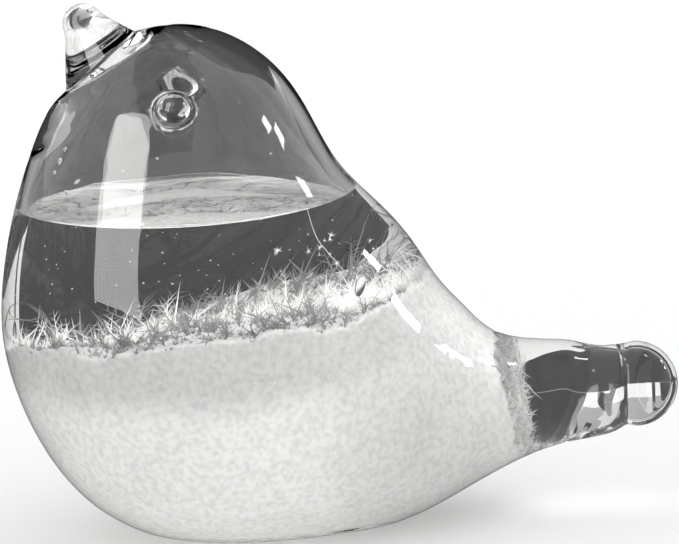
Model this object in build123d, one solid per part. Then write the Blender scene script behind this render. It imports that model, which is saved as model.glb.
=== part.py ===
from build123d import *
import math
import os

"""Storm glass: a sealed, hand-blown glass bird that stands on a pressed flat foot.

The hollow body and tail are one blown shell. A solid drawn beak, two glass bead eyes and a
flame-rounded tail end are fused to it. Inside are the clear storm liquid, the settled bed of
camphor crystals, the fern crystals that stand on the bed, and a few flakes adrift.

Frame: +Z up, origin at the centre of the foot, beak towards -X, tail along +X. Millimetres.
"""

# ---- Driving dimensions ------------------------------------------------------------------
BODY_LENGTH = 114.5  # breast to the mouth of the tail tube
BODY_HEIGHT = 93.6  # foot to crown
BODY_WIDTH = 78.0  # side to side at the widest

WALL = 2.0  # blown wall of the body
TAIL_WALL = 3.2  # at the tail's mouth: the wall thickens along the drawn tail
LEAST_SQUARE = 0.35  # limits how much a wall grows where a rib meets the surface at a glancing angle
FOOT_WALL = 3.0  # glass under the crystals
BEAK_ROOT_DIAMETER = 16.8
BEAK_TIP_RADIUS = 3.7
BEAK_LENGTH = 7.7  # root plane to the tip ball's centre
BEAK_UPTURN = 17.0  # degrees that the beak bends up from its root plane's normal

TAIL_DIAMETER = 15.8  # outside of the tail tube at its mouth
TAIL_CAP_BARREL = 2.0  # straight glass between the tube's mouth and the round end
TAIL_CAP_WALL = 3.0

EYE_RADIUS = 3.2
EYE_PROUD = 2.4  # how far a bead stands out of the head
EYE_BACK = 13.9  # along X, from the beak root's centre to the eye
EYE_DROP = 6.4  # down Z, from the beak root's centre to the eye

LIQUID_LEVEL = 60.0
BED_LEVEL = 36.5  # top of the crystal bed under the breast
BED_RISE = 2.0  # how much higher it lies under the back
TAIL_BANK_SETBACK = 27.0  # from the tail mouth back to the top of the crystals' bank
TAIL_BANK_RUN = 10.5  # how far the bank's foot runs on into the tail

FERN_LENGTH = 6.0
FERN_THICKNESS = 0.7
FERN_SPREAD = 1.2  # from the middle needle's foot to the outer ones'
FERN_ROOT_DEPTH = 0.6  # how far a needle stands in the bed, where the bed is cut out of it
FERN_WALL_GAP = 1.0  # the ferns keep this far from the glass
NEEDLE_SHOULDER = 0.6  # share of a needle's length that keeps its full thickness
NEEDLE_TIP = 0.25  # share of its thickness that a needle has at its tip
FERN_FAN = [  # each needle's turn and lean in degrees, and its length beside the longest
    (0, 0, 1.0),
    (20, 38, 0.85),
    (140, 34, 0.75),
    (255, 42, 0.8),
]
FLAKE_SIZE = 1.6
FLAKE_THICKNESS = 0.4
FLAKE_TURN = 50  # degrees between one flake and the next

# Places on the bed, in per cent of the body's length and half width.
BED_RISE_START = -2
BED_TOP_PLACES = [-45, -22, -2, 12, 24]
FLAKE_PLACES = [  # and how far over the longest needles
    (6, 0, 4.2),
    (8, 5, 5.4),
    (9, -6, 3.0),
    (0, 10, 3.4),
    (14, 14, 1.8),
    (18, -12, 1.2),
    (21, 4, 0.6),
]

# Ribs are planes that fan from the beak's root to the tail. In each, the body is an ellipse.
# Shares of the body's size, in per cent: back x, back z, belly x, belly z, half width.
BODY_RIBS = [
    (-11.4, 99.8, -31.9, 82.8, 36.0),  # crown, chin
    (-4.4, 98.6, -34.9, 74.8, 52.5),  # crown, throat
    (2.9, 93.6, -38.0, 63.6, 69.0),  # back of the head, upper breast
    (9.2, 84.1, -40.4, 49.1, 84.5),  # nape, breast
    (14.3, 71.8, -40.2, 35.3, 95.0),  # neck, lower breast
    (20.1, 63.6, -36.2, 20.3, 100.0),  # shoulders, belly
    (25.5, 55.8, -27.1, 5.3, 98.5),  # back, front of the foot
    (29.7, 47.5, -11.4, -3.2, 90.0),  # back, under the foot
    (34.1, 41.1, 7.0, -4.1, 73.0),  # rump, under the foot
    (38.9, 35.8, 22.9, -0.4, 52.5),  # rump, behind the foot
]
BEAK_ROOT_PLACE = (-22.5, 93.2)  # the root rib's centre, in per cent as above
BEAK_ROOT_TILT = 38.7  # degrees, the root rib's plane from level
TAIL_PLACES = [  # centre x and z in per cent, tilt in degrees, and size beside the tail's mouth
    (40.6, 20.4, 66.4, 1.75),
    (50.6, 23.0, 77.9, 1.21),
    (59.4, 24.2, 90.0, 1.0),
]


class Rib:
    """An ellipse in a plane that holds the Y direction: its centre, tilt from level, and half sizes."""

    def __init__(self, x, z, tilt, half_span, half_width):
        self.x, self.z = x, z
        self.along = (math.cos(math.radians(tilt)), math.sin(math.radians(tilt)))
        self.half_span, self.half_width = half_span, half_width

    def end(self, side):
        """The rib's end on the back (side 1) or the belly (side -1), as x and z."""
        return tuple(
            c + side * self.half_span * a for c, a in zip((self.x, self.z), self.along)
        )

    def face(self):
        plane = Plane(
            origin=(self.x, 0, self.z),
            x_dir=(self.along[0], 0, self.along[1]),
            z_dir=(-self.along[1], 0, self.along[0]),
        )
        return plane * Ellipse(self.half_span, self.half_width)


def rib_between(back, belly, half_width):
    """The rib from a point on the back to one on the belly."""
    run, rise = back[0] - belly[0], back[1] - belly[1]
    middle = ((back[0] + belly[0]) / 2, (back[1] + belly[1]) / 2)
    tilt = math.degrees(math.atan2(rise, run))
    return Rib(*middle, tilt, math.hypot(run, rise) / 2, half_width)


def outer_ribs():
    """Every rib of the glass's outside, from the beak's root to the tail's mouth."""
    x_unit, z_unit, y_unit = BODY_LENGTH / 100, BODY_HEIGHT / 100, BODY_WIDTH / 200
    root_x, root_z = BEAK_ROOT_PLACE
    ribs = [
        Rib(
            root_x * x_unit,
            root_z * z_unit,
            BEAK_ROOT_TILT,
            BEAK_ROOT_DIAMETER / 2,
            BEAK_ROOT_DIAMETER / 2,
        )
    ]
    for back_x, back_z, belly_x, belly_z, width in BODY_RIBS:
        back = (back_x * x_unit, back_z * z_unit)
        belly = (belly_x * x_unit, belly_z * z_unit)
        ribs.append(rib_between(back, belly, width * y_unit))
    for x, z, tilt, size in TAIL_PLACES:
        radius = TAIL_DIAMETER / 2 * size
        ribs.append(Rib(x * x_unit, z * z_unit, tilt, radius, radius))
    return ribs


def inner_rib(before, rib, after, wall):
    """The rib inside another, with the wall measured square to the surface, which slopes along the body."""
    ends = []
    for side in (1, -1):
        start, stop = before.end(side), after.end(side)
        run, rise = stop[0] - start[0], stop[1] - start[1]
        square = abs(rise * rib.along[0] - run * rib.along[1]) / math.hypot(run, rise)
        inset = wall / max(square, LEAST_SQUARE)
        x, z = rib.end(side)
        ends.append((x - side * inset * rib.along[0], z - side * inset * rib.along[1]))
    step = math.hypot(after.x - before.x, after.z - before.z)
    flare = (after.half_width - before.half_width) / max(step, wall)
    return rib_between(*ends, rib.half_width - wall * math.hypot(1, flare))


def wall_at(place):
    """The wall at a rib, counted from the beak's root: it thickens evenly along the tail."""
    share = max(place - len(BODY_RIBS), 0) / len(TAIL_PLACES)
    return WALL + (TAIL_WALL - WALL) * share


def inner_ribs(outer, gap=0.0):
    """The cavity's ribs, or ribs a gap inside them. The root rib has none: the beak is solid."""
    inside = [
        inner_rib(outer[i - 1], outer[i], outer[i + 1], wall_at(i) + gap)
        for i in range(1, len(outer) - 1)
    ]
    mouth = outer[-1]
    radius = mouth.half_span - wall_at(len(outer) - 1) - gap
    tilt = math.degrees(math.atan2(mouth.along[1], mouth.along[0]))
    return inside + [Rib(mouth.x, mouth.z, tilt, radius, radius)]


def lofted(ribs):
    return loft([rib.face() for rib in ribs])


def above(height):
    """Everything over a level, as a block larger than the bird."""
    size = 3 * BODY_LENGTH
    return Pos(0, 0, height + size / 2) * Box(size, size, size)


# ---- The blown body and its cavity ---------------------------------------------------------
OUTER = outer_ribs()
ROOT, MOUTH = OUTER[0], OUTER[-1]
body_outside = lofted(OUTER) & above(0)
cavity = lofted(inner_ribs(OUTER)) & above(FOOT_WALL)
glass_body = body_outside - cavity


# ---- The beak --------------------------------------------------------------------------------
def make_beak():
    """A solid drawn cone from the root plane to a ball tip, bending upwards."""
    out = (-ROOT.along[1], ROOT.along[0])
    lean = math.atan2(out[0], out[1]) + math.radians(BEAK_UPTURN)
    tip_x = ROOT.x + BEAK_LENGTH * math.sin(lean)
    tip_z = ROOT.z + BEAK_LENGTH * math.cos(lean)
    tip_tilt = BEAK_ROOT_TILT - BEAK_UPTURN / 2
    ball = Pos(tip_x, 0, tip_z) * Sphere(BEAK_TIP_RADIUS)
    waist_radius = (BEAK_ROOT_DIAMETER / 2 + BEAK_TIP_RADIUS) / 2
    waist = Rib(
        (ROOT.x + tip_x) / 2,
        (ROOT.z + tip_z) / 2,
        (BEAK_ROOT_TILT + tip_tilt) / 2,
        waist_radius,
        waist_radius,
    )
    tip = Rib(tip_x, tip_z, tip_tilt, BEAK_TIP_RADIUS, BEAK_TIP_RADIUS)
    return lofted([ROOT, waist, tip]) + ball


# ---- The flame-rounded tail end -----------------------------------------------------------------
def make_tail_end():
    """The round end fused on the tail's mouth, and the space in it."""
    radius = MOUTH.half_span
    seat = Pos(MOUTH.x, 0, MOUTH.z)
    barrel = Rot(0, 90, 0) * Cylinder(
        radius, TAIL_CAP_BARREL, align=(Align.CENTER, Align.CENTER, Align.MIN)
    )
    ball_seat = Pos(TAIL_CAP_BARREL, 0, 0)
    in_front = Box(
        4 * radius, 4 * radius, 4 * radius, align=(Align.MIN, Align.CENTER, Align.CENTER)
    )
    outside = barrel + (ball_seat * Sphere(radius) & in_front)
    hollow = ball_seat * Sphere(radius - TAIL_CAP_WALL) & in_front
    return seat * (outside - hollow), seat * hollow


# ---- Eyes ------------------------------------------------------------------------------------------
def make_eye(side):
    """A glass bead fused to one side of the head: side is 1 for +Y and -1 for -Y."""
    x, z = ROOT.x + EYE_BACK, ROOT.z - EYE_DROP
    line = Axis((x, 0, z), (0, side, 0))
    hits = body_outside.find_intersection_points(line)
    point, normal = max(hits, key=lambda hit: side * hit[0].Y)
    if normal.Y * side < 0:
        normal = -normal
    centre = point + normal * (EYE_PROUD - EYE_RADIUS)
    return Pos(*centre) * Sphere(EYE_RADIUS) - body_outside


# ---- Crystals --------------------------------------------------------------------------------------
BANK_TOP_X = MOUTH.x - TAIL_BANK_SETBACK
BANK_FOOT_X = BANK_TOP_X + TAIL_BANK_RUN


def bed_top(x):
    """The height of the crystal bed: level under the breast, and rising under the back."""
    start = BED_RISE_START * BODY_LENGTH / 100
    share = min(max((x - start) / (BANK_TOP_X - start), 0), 1)
    return BED_LEVEL + BED_RISE * share * share * (3 - 2 * share)


def make_bed():
    """The settled crystals: the cavity under the bed's top, back to the bank at the tail's root."""
    left = -BODY_LENGTH
    top = [(x * BODY_LENGTH / 100, bed_top(x * BODY_LENGTH / 100)) for x in BED_TOP_PLACES]
    top = [(left, bed_top(left))] + top + [(BANK_TOP_X, bed_top(BANK_TOP_X))]
    line = Spline(*top)
    rest = Polyline(top[-1], (BANK_FOOT_X, 0), (left, 0), top[0])
    side_view = Plane.XZ * make_face([line, rest])
    return extrude(side_view, amount=BODY_WIDTH, both=True) & cavity


def on_bed(x_share, y_share):
    """A place on the bed's top, in per cent of the body's length and half width, facing up."""
    x = x_share * BODY_LENGTH / 100
    return Pos(x, y_share * BODY_WIDTH / 200, bed_top(x))


def on_bank(drop, y_share):
    """A place on the bank's slope, in per cent down the slope and of the half width, facing the tail."""
    height = bed_top(BANK_TOP_X) * (1 - drop / 100)
    x = BANK_TOP_X + TAIL_BANK_RUN * drop / 100
    slope = math.degrees(math.atan2(bed_top(BANK_TOP_X), TAIL_BANK_RUN))
    return Pos(x, y_share * BODY_WIDTH / 200, height) * Rot(0, slope, 0)


def needle(length, thickness):
    """One camphor needle along +Z: a long six-sided crystal that tapers to a point at the top."""
    root = RegularPolygon(thickness / 2, 6)
    shoulder = Pos(0, 0, length * NEEDLE_SHOULDER) * root
    tip = Pos(0, 0, length) * RegularPolygon(thickness / 2 * NEEDLE_TIP, 6)
    return loft([root, shoulder, tip], ruled=True)


def make_ferns(places):
    """A fan of needles at each place, which is a location on the bed and a scale."""
    needles = []
    for place, scale in places:
        seat = place * Pos(0, 0, -FERN_ROOT_DEPTH)
        for turn, lean, share in FERN_FAN:
            stand = Rot(0, 0, turn) * Pos(FERN_SPREAD * scale if lean else 0, 0, 0) * Rot(0, lean, 0)
            needles.append(seat * stand * needle(FERN_LENGTH * scale * share, FERN_THICKNESS * scale))
    return (Compound(needles) & fern_room) - crystal_bed


def make_flakes():
    """Six-sided plates adrift over the bed, each turned its own way."""
    flakes = []
    for count, (x_share, y_share, lift) in enumerate(FLAKE_PLACES):
        turn = Rot(FLAKE_TURN * count, FLAKE_TURN / 2 * count, 0)
        plate = extrude(RegularPolygon(FLAKE_SIZE / 2, 6), amount=FLAKE_THICKNESS / 2, both=True)
        flakes.append(on_bed(x_share, y_share) * Pos(0, 0, FERN_LENGTH + lift) * turn * plate)
    return Compound(flakes)


crystal_bed = make_bed()
fern_room = lofted(inner_ribs(OUTER, FERN_WALL_GAP)[2:-1])  # the breast to the tail
ferns = {
    "breast_ferns": [
        (on_bed(-33, -22), 0.8),
        (on_bed(-30, 14), 1.0),
        (on_bed(-25, -48), 1.1),
        (on_bed(-22, 46), 0.9),
        (on_bed(-19, -8), 1.3),
    ],
    "middle_ferns": [
        (on_bed(-12, -62), 0.9),
        (on_bed(-10, 28), 1.2),
        (on_bed(-5, -30), 1.0),
        (on_bed(-1, 62), 0.8),
        (on_bed(3, 4), 1.1),
    ],
    "back_ferns": [
        (on_bed(9, -52), 1.0),
        (on_bed(12, 40), 0.9),
        (on_bed(16, -14), 1.2),
        (on_bed(21, 16), 1.0),
        (on_bed(24, -30), 0.8),
    ],
    "tail_ferns": [
        (on_bank(31, -8), 1.0),
        (on_bank(40, 12), 1.1),
        (on_bank(50, -16), 1.0),
        (on_bank(62, 6), 0.9),
    ],
}
ferns = {name: make_ferns(places) for name, places in ferns.items()}
flakes = make_flakes()

# ---- The storm liquid --------------------------------------------------------------------------------
tail_end, tail_end_space = make_tail_end()
storm_liquid = (cavity - above(LIQUID_LEVEL)) + tail_end_space - crystal_bed
storm_liquid = storm_liquid - [piece for group in (*ferns.values(), flakes) for piece in group.solids()]

parts = {
    "glass_body": glass_body,
    "beak": make_beak(),
    "tail_end": tail_end,
    "left_eye": make_eye(1),
    "right_eye": make_eye(-1),
    "storm_liquid": storm_liquid,
    "crystal_bed": crystal_bed,
    **ferns,
    "drifting_flakes": flakes,
}

os.makedirs("parts", exist_ok=True)
for name, shape in parts.items():
    export_step(shape, f"parts/{name}.step")
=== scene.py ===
import math
import random

import bmesh
import bpy
import numpy as np
from mathutils import Matrix, Vector, noise
from mathutils.bvhtree import BVHTree


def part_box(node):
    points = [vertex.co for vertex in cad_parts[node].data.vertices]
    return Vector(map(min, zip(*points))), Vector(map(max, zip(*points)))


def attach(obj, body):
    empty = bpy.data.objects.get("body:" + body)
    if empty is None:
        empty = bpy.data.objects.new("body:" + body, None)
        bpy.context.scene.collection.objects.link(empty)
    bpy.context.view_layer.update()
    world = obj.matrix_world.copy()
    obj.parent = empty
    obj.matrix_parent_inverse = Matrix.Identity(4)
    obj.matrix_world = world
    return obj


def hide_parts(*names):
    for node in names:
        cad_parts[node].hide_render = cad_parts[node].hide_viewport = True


# Looks of the storm glass: the blown bird, its liquid, the bed of camphor crystals and the ferns on it.
# Everything is in metres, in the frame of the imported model: +Z up, beak towards -X, tail along +X.

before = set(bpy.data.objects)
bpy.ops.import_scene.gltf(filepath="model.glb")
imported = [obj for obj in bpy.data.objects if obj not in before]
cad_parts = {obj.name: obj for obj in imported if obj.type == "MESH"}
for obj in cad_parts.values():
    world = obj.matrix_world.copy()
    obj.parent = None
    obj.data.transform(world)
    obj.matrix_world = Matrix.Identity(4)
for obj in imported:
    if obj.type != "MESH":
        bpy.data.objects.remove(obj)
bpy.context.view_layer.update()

MM = 0.001
UP = Vector((0, 0, 1))
SIDE = np.array((0.0, 1.0, 0.0))

# ---- Sizes of the looks ----
AROUND = 144  # points round the body
GLASS_IOR = 1.47
LIQUID_IOR = 1.362
FUSED_IOR = 1.0  # where two pieces are melted together, light passes straight on
FILM = 0.03 * MM  # between the liquid's skin and the glass
LIP_HEIGHT = 1.1 * MM  # how far the liquid climbs up the glass
LIP_REACH = 1.2 * MM
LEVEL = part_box("storm_liquid")[1].z

BODY_LENGTH = 114.5 * MM
BODY_HEIGHT = 93.6 * MM

# The glass is measured in planes that fan from the beak's root to the tail's mouth. The last number
# of each is how many rings lie between it and the next one.
ROOT_PLANE = (-22.5, 93.2, 38.7, 5)  # centre x and z in per cent of length and height, tilt in degrees
BODY_PLANES = [  # back x, back z, belly x and belly z, in per cent
    (-11.4, 99.8, -31.9, 82.8, 7),  # crown, chin
    (-4.4, 98.6, -34.9, 74.8, 9),  # crown, throat
    (2.9, 93.6, -38.0, 63.6, 10),  # back of the head, upper breast
    (9.2, 84.1, -40.4, 49.1, 10),  # nape, breast
    (14.3, 71.8, -40.2, 35.3, 11),  # neck, lower breast
    (20.1, 63.6, -36.2, 20.3, 13),  # shoulders, belly
    (25.5, 55.8, -27.1, 5.3, 15),  # back, front of the foot
    (29.7, 47.5, -11.4, -3.2, 16),  # back, under the foot
    (34.1, 41.1, 7.0, -4.1, 14),  # rump, under the foot
    (38.9, 35.8, 22.9, -0.4, 8),  # rump, behind the foot
]
TAIL_PLANES = [(40.6, 20.4, 66.4, 9), (50.6, 23.0, 77.9, 8), (59.4, 24.2, 90.0, 0)]
FAR = 0.2  # from outside the whole bird

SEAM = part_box("tail_end")[0].x  # where the round end is fused on
SEAM_DEPTH = 0.35 * MM
SEAM_WIDTH = 1.5 * MM
LUMPS_START = 36 * MM
LUMPS_RUN = 12 * MM
LUMP_DEPTH = 0.7 * MM
LUMP_SIZE = 3.5 * MM


# ---- Measuring the glass ----
def tree_of(node):
    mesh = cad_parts[node].data
    return BVHTree.FromPolygons(
        [v.co[:] for v in mesh.vertices], [tuple(p.vertices) for p in mesh.polygons]
    )


def eased(values, at):
    """A smooth line through evenly spaced values, read at a place counted in steps."""
    i = min(int(at), len(values) - 2)
    t = at - i
    before, a, b, after = (values[min(max(i + k, 0), len(values) - 1)] for k in (-1, 0, 1, 2))
    bend = 2 * before - 5 * a + 4 * b - after
    twist = 3 * (a - b) + after - before
    return a + 0.5 * t * (b - before + t * (bend + t * twist))


def fan_of_planes():
    """Each plane's centre x and z in metres, its tilt in degrees, and its rings up to the next."""
    planes = [ROOT_PLANE, *TAIL_PLANES]
    between = []
    for back_x, back_z, belly_x, belly_z, rings in BODY_PLANES:
        run, rise = (back_x - belly_x) * BODY_LENGTH, (back_z - belly_z) * BODY_HEIGHT
        tilt = math.degrees(math.atan2(rise, run))
        between.append(((back_x + belly_x) / 2, (back_z + belly_z) / 2, tilt, rings))
    planes[1:1] = between
    return [(x * BODY_LENGTH / 100, z * BODY_HEIGHT / 100, tilt, rings) for x, z, tilt, rings in planes]


FAN = fan_of_planes()


def fan_plane(at):
    """The centre of a plane of the fan, and the direction along it to the back."""
    x, z, tilt = (eased([row[k] for row in FAN], at) for k in range(3))
    tilt = math.radians(tilt)
    return np.array((x, 0, z)), np.array((math.cos(tilt), 0, math.sin(tilt)))


def fan_places(first=0.0, margin=0.02):
    """Where the rings are, counted in planes of the fan."""
    places = [i + k / row[3] for i, row in enumerate(FAN) for k in range(row[3])]
    last = len(FAN) - 1
    inside = [p for p in places if first + margin < p < last - margin]
    return [first + margin] + inside + [last - margin / 4]


def ways_round(along):
    """Unit directions in a plane, from the back round by +Y to the belly and on."""
    angles = np.linspace(0, 2 * math.pi, AROUND, endpoint=False)[:, None]
    return np.cos(angles) * along + np.sin(angles) * SIDE


def reach_of(tree, centre, ways, from_outside):
    """How far the glass is from the centre each way: its outside, or the first wall met from within."""
    found = []
    for way in ways:
        way = Vector(way)
        start = Vector(centre) + way * FAR if from_outside else Vector(centre)
        hit = tree.ray_cast(start, -way if from_outside else way)
        found.append((hit[0] - Vector(centre)).length)
    return found


def smoothed(reach, passes=2):
    for _ in range(passes):
        reach = (np.roll(reach, 1, 1) + 2 * reach + np.roll(reach, -1, 1)) / 4
        reach[1:-1] = (reach[:-2] + 2 * reach[1:-1] + reach[2:]) / 4
    return reach


def ramp(value, start, run):
    """0 before the start, 1 after the run, eased in between."""
    share = min(max((value - start) / run, 0.0), 1.0)
    return share * share * (3 - 2 * share)


def uneven(point, scale, seed):
    """Smooth noise from -1 to 1 at a place, whose bumps are scale across."""
    return noise.noise(Vector(point) / scale + Vector((seed, 0, 0)))


def seam_dent(x):
    """How far the glass draws in round the seam at the tail's mouth."""
    return SEAM_DEPTH * math.exp(-(((x - SEAM) / SEAM_WIDTH) ** 2))


class Fan:
    """Rings of the body's glass, outside or inside, that can be read at any inset."""

    def __init__(self, tree, first, from_outside):
        planes = [fan_plane(at) for at in fan_places(first)]
        self.centres = np.array([centre for centre, _ in planes])
        self.ways = np.array([ways_round(along) for _, along in planes])
        reach = [reach_of(tree, c, w, from_outside) for c, w in zip(self.centres, self.ways)]
        self.reach = smoothed(np.array(reach)) - np.array([[seam_dent(c[0])] for c in self.centres])
        if not from_outside:
            self.reach -= self.lumps()

    def lumps(self):
        """The uneven inside of the drawn tail, most of all along its underside."""
        depth = np.zeros_like(self.reach)
        for i, (centre, ways, reach) in enumerate(zip(self.centres, self.ways, self.reach)):
            share = min(max((centre[0] - LUMPS_START) / LUMPS_RUN, 0), 1) * LUMP_DEPTH
            for j, way in enumerate(ways if share else []):
                under = 0.4 + 0.6 * max(-way[0], 0) + 0.6 * max(-way[2], 0)
                depth[i, j] = share * under * uneven(centre + way * reach[j], LUMP_SIZE, 11)
        return depth

    def rings(self, inset=0.0):
        rings = self.centres[:, None] + self.ways * (self.reach - inset)[:, :, None]
        rings[:, :, 2] = np.maximum(rings[:, :, 2], 0)
        return rings


# ---- Making meshes ----
class Skin:
    """Gathers rings and caps of faces into one mesh. A face's finish is its material's place."""

    def __init__(self):
        self.points, self.faces, self.finishes = [], [], []

    def ring(self, points):
        start = len(self.points)
        self.points += [tuple(p) for p in points]
        return list(range(start, len(self.points)))

    def rows(self, rings, finish=0):
        rows = [self.ring(ring) for ring in rings]
        for a, b in zip(rows, rows[1:]):
            self.join(a, b, finish)
        return rows

    def join(self, a, b, finish=0):
        for j in range(len(a)):
            k = (j + 1) % len(a)
            self.faces.append((a[j], a[k], b[k], b[j]))
            self.finishes.append(finish)

    def cap(self, ring, centre, finish=0):
        (pole,) = self.ring([centre])
        for j in range(len(ring)):
            self.faces.append((ring[j], ring[(j + 1) % len(ring)], pole))
            self.finishes.append(finish)

    def disc(self, ring, centre, finish=0, shares=(0.97, 0.85, 0.6, 0.3), bulge=(0, 0, 0)):
        """Closes a ring with smaller rings, which may bulge towards the middle."""
        edge = np.array([self.points[i] for i in ring])
        centre, bulge = np.array(centre), np.array(bulge)
        for share in shares:
            inner = self.ring(centre + (edge - centre) * share + bulge * (1 - share * share))
            self.join(ring, inner, finish)
            ring = inner
        self.cap(ring, centre + bulge, finish)

    def mesh(self, name):
        mesh = bpy.data.meshes.new(name)
        mesh.from_pydata([tuple(p) for p in self.points], [], self.faces)
        return mesh

    def tree(self):
        """The skin to measure from, with its faces turned outwards."""
        form = bmesh.new()
        form.from_mesh(self.mesh("measured"))
        bmesh.ops.recalc_face_normals(form, faces=form.faces)
        tree = BVHTree.FromBMesh(form)
        form.free()
        return tree

    def made(self, name, materials):
        mesh = self.mesh(name)
        mesh.polygons.foreach_set("material_index", self.finishes)
        return finished(name, mesh, materials)


def finished(name, mesh, materials):
    """An object of a closed mesh: its faces turned outwards and shaded smooth."""
    form = bmesh.new()
    form.from_mesh(mesh)
    bmesh.ops.recalc_face_normals(form, faces=form.faces)
    form.to_mesh(mesh)
    form.free()
    mesh.polygons.foreach_set("use_smooth", [True] * len(mesh.polygons))
    for material in materials:
        mesh.materials.append(material)
    mesh.update()
    piece = bpy.data.objects.new(name, mesh)
    bpy.context.scene.collection.objects.link(piece)
    return piece


# ---- Materials ----
def new_material(name):
    material = bpy.data.materials.new(name)
    material.use_nodes = True
    return material, material.node_tree, material.node_tree.nodes["Principled BSDF"]


def add(tree, kind, values=None, **settings):
    """A shader node with its settings, and values on its inputs by name or place."""
    node = tree.nodes.new(kind)
    for key, value in settings.items():
        setattr(node, key, value)
    set_values(node, values or {})
    return node


def set_values(node, values):
    for key, value in values.items():
        node.inputs[key].default_value = value


def noise_bump(tree, shader, scale, strength, distance, detail=2.0):
    """A fine unevenness from noise on the piece's own coordinates."""
    place = add(tree, "ShaderNodeTexCoord")
    grain = add(tree, "ShaderNodeTexNoise", {"Scale": scale, "Detail": detail})
    bump = add(tree, "ShaderNodeBump", {"Strength": strength, "Distance": distance})
    tree.links.new(place.outputs["Object"], grain.inputs["Vector"])
    tree.links.new(grain.outputs["Fac"], bump.inputs["Height"])
    tree.links.new(bump.outputs["Normal"], shader.inputs["Normal"])
    return grain


WAVE_SCALE = 55  # of the slow waves in blown glass
WAVE_HEIGHT = 0.4 * MM
GLASS_TINT = (0.99, 0.995, 0.99)
BUBBLE_IOR = 1.3  # so that the bubbles show softly


def clear(name, ior, tint=(1, 1, 1), waviness=0.0):
    """Glass or liquid, whose ior is beside that of what lies on the other side of the face."""
    material, tree, shader = new_material(name)
    set_values(shader, {"Base Color": (*tint, 1), "Roughness": 0.0, "Transmission Weight": 1.0, "IOR": ior})
    if waviness:
        noise_bump(tree, shader, WAVE_SCALE, waviness, WAVE_HEIGHT)
    return material


blown_glass = clear("blown_glass", GLASS_IOR, GLASS_TINT, 0.06)
wetted_glass = clear("wetted_glass", GLASS_IOR / LIQUID_IOR)
fused_glass = clear("fused_glass", FUSED_IOR)
drawn_glass = clear("drawn_glass", GLASS_IOR, GLASS_TINT, 0.08)
liquid_top = clear("liquid_surface", LIQUID_IOR)
liquid_side = clear("liquid_at_glass", FUSED_IOR)
drop_liquid = clear("drop_liquid", LIQUID_IOR)
bubble_air = clear("bubble_air", BUBBLE_IOR)


PATCH_SCALE = 120  # of the paler and greyer patches in the crystals
GRAIN_HEIGHT = 0.5 * MM
HOLLOW_SHADE = 0.82  # painted shade: how dark the hollows between grains are painted


def crystals(name, packed_and_lit_shade, loose_shade, painted_glow, grain_scale, bump):
    """White camphor: paler, with a painted glow, where it is packed, and greyer where the mesh's mask marks
    loose crystals and painted shade.
    """
    material, tree, shader = new_material(name)
    shader.inputs["Roughness"].default_value = 0.55
    shades = [(shade, shade, shade * 0.99, 1) for shade in (packed_and_lit_shade, loose_shade)]
    grain = noise_bump(tree, shader, grain_scale, bump, GRAIN_HEIGHT, 4.0)
    place = add(tree, "ShaderNodeTexCoord")
    loose = add(tree, "ShaderNodeAttribute", attribute_name="loose")
    shade = add(tree, "ShaderNodeMix", data_type="RGBA")
    set_values(shade, {"A": shades[0], "B": shades[1]})
    patches = add(tree, "ShaderNodeTexNoise", {"Scale": PATCH_SCALE, "Detail": 6.0})
    spread = add(tree, "ShaderNodeMath", {1: 0.9, 2: -0.45}, operation="MULTIPLY_ADD")
    mixed = add(tree, "ShaderNodeMath", operation="ADD")
    # Painted shade: the colour is darker in the hollows of the grains' bumps.
    painted_hollows = add(tree, "ShaderNodeMapRange", {"From Min": 0.3, "From Max": 0.6, "To Min": HOLLOW_SHADE})
    shaded_colour = add(tree, "ShaderNodeMix", data_type="RGBA", blend_type="MULTIPLY")
    shaded_colour.inputs["Factor"].default_value = 1.0
    # The glow is painted light: an emission that stands in for the light that scatters deep in the crystals.
    # It fades where the mask marks loose crystals and painted shade.
    light = add(tree, "ShaderNodeMapRange", {"From Max": 0.7, "To Min": painted_glow, "To Max": 0.0})
    link = tree.links.new
    link(place.outputs["Object"], patches.inputs["Vector"])
    link(patches.outputs["Fac"], spread.inputs[0])
    link(loose.outputs["Fac"], mixed.inputs[0])
    link(spread.outputs["Value"], mixed.inputs[1])
    link(mixed.outputs["Value"], shade.inputs["Factor"])
    link(grain.outputs["Fac"], painted_hollows.inputs["Value"])
    link(shade.outputs["Result"], shaded_colour.inputs["A"])
    link(painted_hollows.outputs["Result"], shaded_colour.inputs["B"])
    link(shaded_colour.outputs["Result"], shader.inputs["Base Color"])
    link(loose.outputs["Fac"], light.inputs["Value"])
    link(shaded_colour.outputs["Result"], shader.inputs["Emission Color"])
    link(light.outputs["Result"], shader.inputs["Emission Strength"])
    material.cycles.emission_sampling = "NONE"
    return material


# The fourth number of each is its painted glow.
packed_crystals = crystals("packed_crystals", 0.87, 0.68, 0.09, 900, 0.6)
fern_crystals = crystals("fern_crystals", 0.99, 0.38, 0.3, 1500, 0.3)

# ---- The blown body ----
body_tree = tree_of("glass_body")
outside = Fan(body_tree, 0.0, True)
inside = Fan(body_tree, 1.0, False)
NOSE_BULGE = 0.8 * MM  # of the cavity's end, towards the beak
nose_bulge = np.array((-math.sin(math.radians(FAN[1][2])), 0, math.cos(math.radians(FAN[1][2])))) * NOSE_BULGE


def make_body():
    skin = Skin()
    outer = skin.rows(outside.rings(), 0)
    inner = skin.rows(inside.rings(), 1)
    skin.join(outer[-1], inner[-1], 2)
    skin.disc(outer[0], outside.centres[0], 2)
    skin.disc(inner[0], inside.centres[0], 1, bulge=nose_bulge)
    return skin.made("glass_body_blown", [blown_glass, wetted_glass, fused_glass])


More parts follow.
